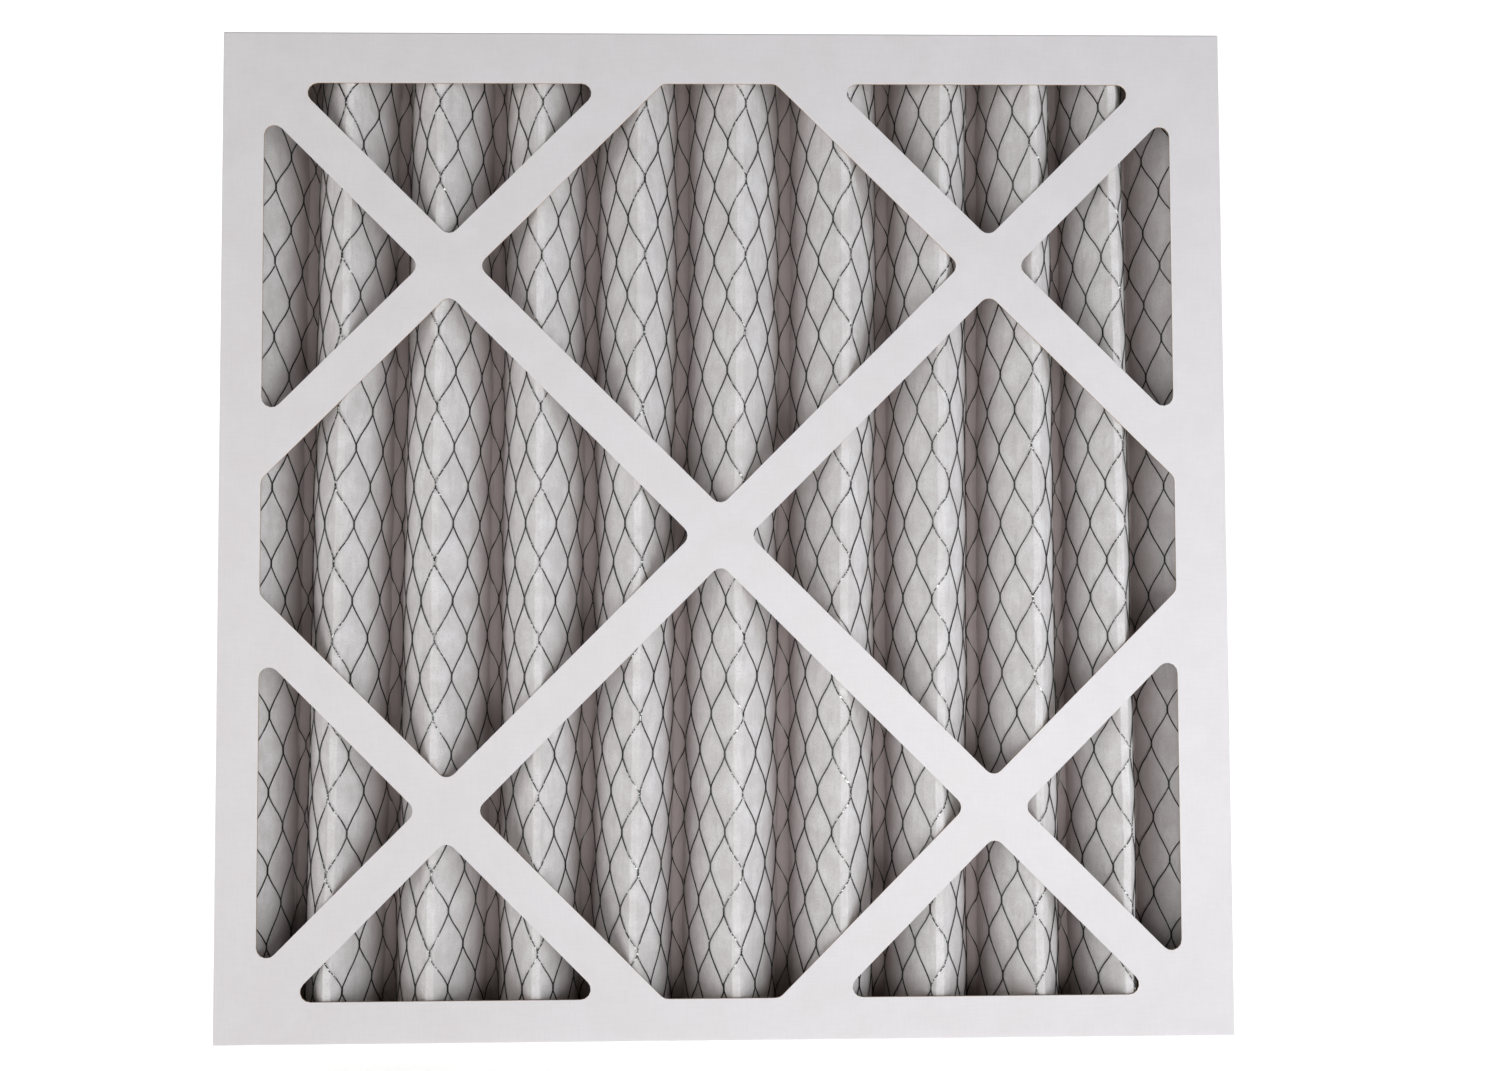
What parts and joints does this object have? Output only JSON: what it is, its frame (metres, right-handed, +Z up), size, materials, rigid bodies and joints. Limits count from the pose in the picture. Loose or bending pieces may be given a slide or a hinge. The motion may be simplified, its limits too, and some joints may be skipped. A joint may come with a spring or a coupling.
{
  "type": "pleated panel air filter",
  "caption": "Pleated panel air filter: a folded nonwoven media pack on an expanded-metal grid, held in a square white paperboard frame with crossed diagonal straps on both faces.",
  "frame": {"origin": "middle of the bottom edge, on the surface the filter stands on", "axes": "+Z up along the pleats, +X across the pleats, +Y from the air-leaving face with the grid to the air-entering face"},
  "size_m": [0.495, 0.0446, 0.495],
  "materials": {
    "board": "white coated face, brown kraft inside and at cut edges",
    "media": "off-white nonwoven synthetic fibre",
    "grid": "galvanised expanded metal",
    "adhesive": "set hot-melt or water-based adhesive"
  },
  "bodies": {
    "root": {"front_frame": "board", "rear_frame": "board", "pleated_media": "media", "support_grid": "grid", "top_adhesive": "adhesive", "bottom_adhesive": "adhesive", "left_adhesive": "adhesive", "right_adhesive": "adhesive"}
  },
  "joints": []
}
